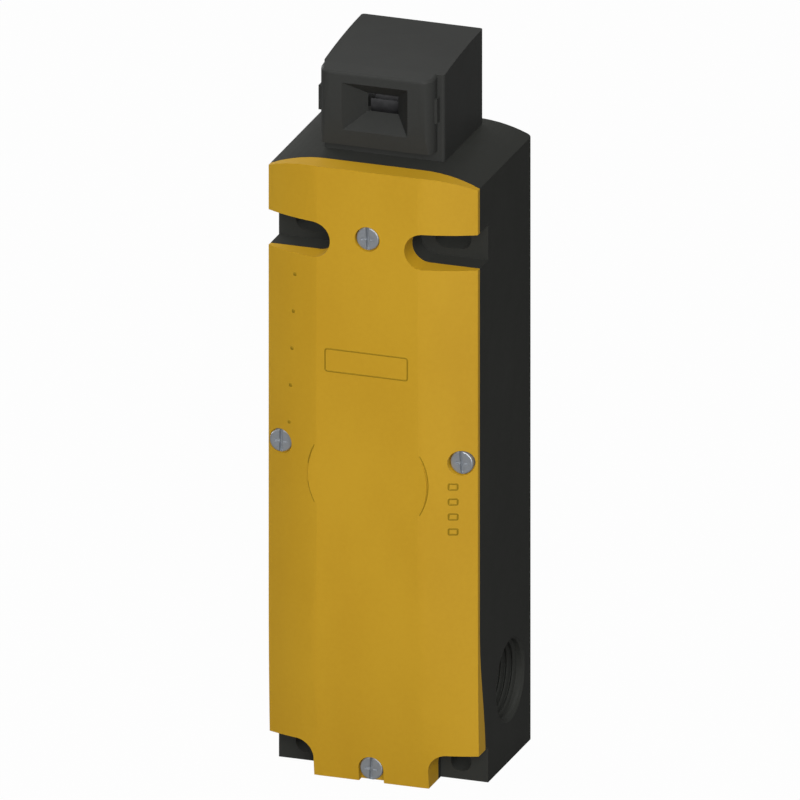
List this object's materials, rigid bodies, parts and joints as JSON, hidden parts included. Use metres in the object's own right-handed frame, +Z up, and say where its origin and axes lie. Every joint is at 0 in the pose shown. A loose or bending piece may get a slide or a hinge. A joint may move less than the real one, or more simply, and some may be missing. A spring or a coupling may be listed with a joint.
{
  "type": "tongue interlock switch",
  "caption": "Guard interlock switch with a swivelling tongue head, solenoid lock, black housing and a yellow front cover, fixed through four lugs.",
  "frame": {"origin": "middle of the bottom, half-way between the back plane and the cover's flat front", "axes": "+X to the right seen from the front, +Y to the back, +Z up towards the head"},
  "size_m": [0.054, 0.0446, 0.1848],
  "materials": {
    "black_housing": "moulded glass-filled plastic, fine matt grain",
    "black_head": "moulded glass-filled plastic, fine matt grain",
    "black_entry": "moulded plastic, satin",
    "black_plug": "moulded plastic",
    "yellow_cover": "moulded plastic, fine satin grain",
    "zinc_screw": "zinc-plated",
    "rubber_seal": "moulded rubber",
    "sheet_steel": "pressed, zinc-plated",
    "spring_steel": "drawn and ground",
    "cam_steel": "sintered, oiled",
    "contact_moulding": "moulded thermoset",
    "bobbin_plastic": "moulded nylon",
    "contact_brass": "stamped, silver-faced",
    "copper_winding": "enamelled copper wire"
  },
  "bodies": {
    "body": {"housing": "black_housing", "cover": "yellow_cover", "cover_gasket": "rubber_seal", "cover_screws": "zinc_screw", "blanking_plug_left": "black_plug", "blanking_plug_bottom": "black_plug", "plug_seals": "rubber_seal", "mounting_plate": "sheet_steel", "plate_screws": "zinc_screw", "contact_block_left": "contact_moulding", "contact_block_right": "contact_moulding", "fixed_contacts": "contact_brass", "terminal_screws": "zinc_screw", "solenoid_yoke": "sheet_steel", "solenoid_bobbin": "bobbin_plastic", "solenoid_coil": "copper_winding", "pole_core": "sheet_steel", "coil_terminal_block": "contact_moulding", "armature_spring": "spring_steel", "lever_bracket": "sheet_steel", "lever_pin": "spring_steel", "earth_screw": "zinc_screw", "spring_seat": "bobbin_plastic", "plunger_spring": "spring_steel", "head_seal": "rubber_seal"},
    "head": {"head_housing": "black_head", "entry_plate": "black_entry", "head_base": "black_head", "retaining_ring": "spring_steel", "guide_bush": "contact_brass", "cam_axle": "spring_steel"},
    "cam": {"cam_wheel": "cam_steel"},
    "plunger": {"plunger_rod": "spring_steel", "contact_carrier": "bobbin_plastic", "contact_bridges": "contact_brass"},
    "armature": {"armature": "sheet_steel"},
    "lever": {"lock_lever": "sheet_steel"}
  },
  "joints": [
    {"name": "head_swivel", "type": "hinge", "parent": "body", "child": "head", "pos_m": [0, 0.00455, 0.16], "axis": [0, 0, 1], "range_deg": [-90, 180]},
    {"name": "cam_turn", "type": "hinge", "parent": "head", "child": "cam", "pos_m": [0, 0.00455, 0.1705], "axis": [-1, 0, 0], "range_deg": [0, 65.1]},
    {"name": "plunger_slide", "type": "slide", "parent": "body", "child": "plunger", "axis": [0, 0, 1], "range_m": [0, 0.0035], "deforming": ["plunger_spring"]},
    {"name": "armature_slide", "type": "slide", "parent": "body", "child": "armature", "axis": [0, 0, -1], "range_m": [0, 0.0022], "stiffness_N_per_m": 200, "springref_m": -0.006, "deforming": ["armature_spring"]},
    {"name": "lever_turn", "type": "hinge", "parent": "body", "child": "lever", "pos_m": [0, -0.00024, 0.0825], "axis": [-1, 0, 0], "range_deg": [0, 14.1]}
  ],
  "couplings": [
    {"joint": "cam_turn", "follows": "plunger_slide", "rad_per_m": 324.13},
    {"joint": "lever_turn", "follows": "armature_slide", "rad_per_m": 111.07}
  ]
}
